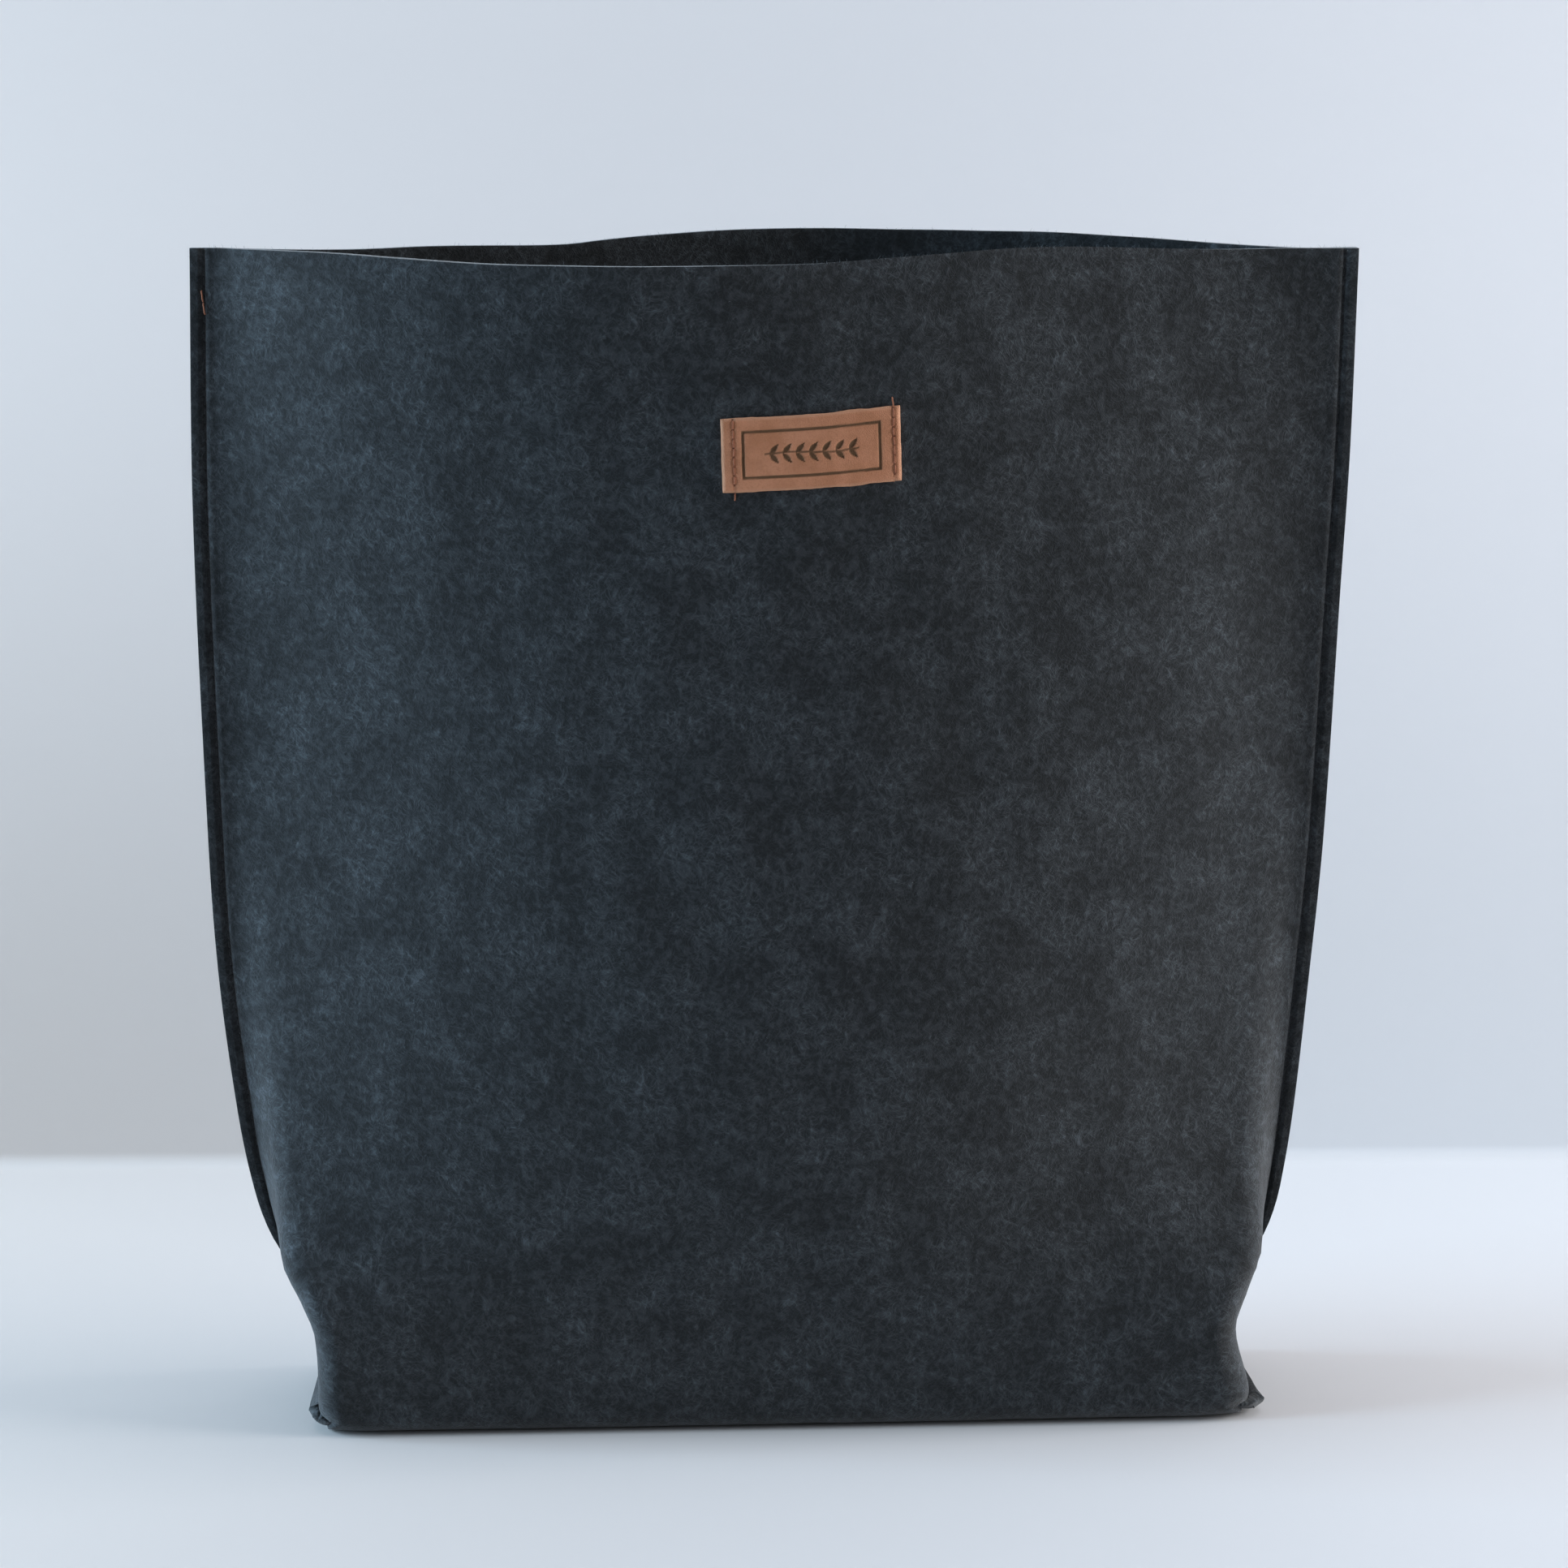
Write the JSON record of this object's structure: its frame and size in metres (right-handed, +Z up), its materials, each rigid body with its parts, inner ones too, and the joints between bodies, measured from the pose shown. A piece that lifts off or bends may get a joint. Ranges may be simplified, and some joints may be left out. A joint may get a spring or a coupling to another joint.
{
  "type": "fabric grow bag",
  "caption": "Upright open sack of thick marled felt with a squared base, outward raw seams and a small tilted leather label near the rim.",
  "frame": {"origin": "centre of the bounding box's bottom face, on the surface the bag stands on", "axes": "+X to the right seen from the front, +Y from the labelled front towards the back, +Z up out of the open mouth"},
  "size_m": [0.3924, 0.0937, 0.41],
  "materials": {
    "felt": "matt needle felt, charcoal marled with paler blue-grey fibres",
    "leather": "matt vegetable-tanned leather, tan",
    "seam_thread": "matt dark sewing thread",
    "rust_thread": "rust-coloured sewing thread with a slight sheen"
  },
  "bodies": {
    "root": {"felt_body": "felt", "leather_label": "leather", "side_seam_left_needle_thread": "seam_thread", "side_seam_left_bobbin_thread": "seam_thread", "corner_seam_left_needle_thread": "seam_thread", "corner_seam_left_bobbin_thread": "seam_thread", "side_seam_right_needle_thread": "seam_thread", "side_seam_right_bobbin_thread": "seam_thread", "corner_seam_right_needle_thread": "seam_thread", "corner_seam_right_bobbin_thread": "seam_thread", "label_row_left_needle_thread": "rust_thread", "label_row_left_bobbin_thread": "rust_thread", "label_row_right_needle_thread": "rust_thread", "label_row_right_bobbin_thread": "rust_thread", "rim_tack_thread": "rust_thread"}
  },
  "joints": []
}
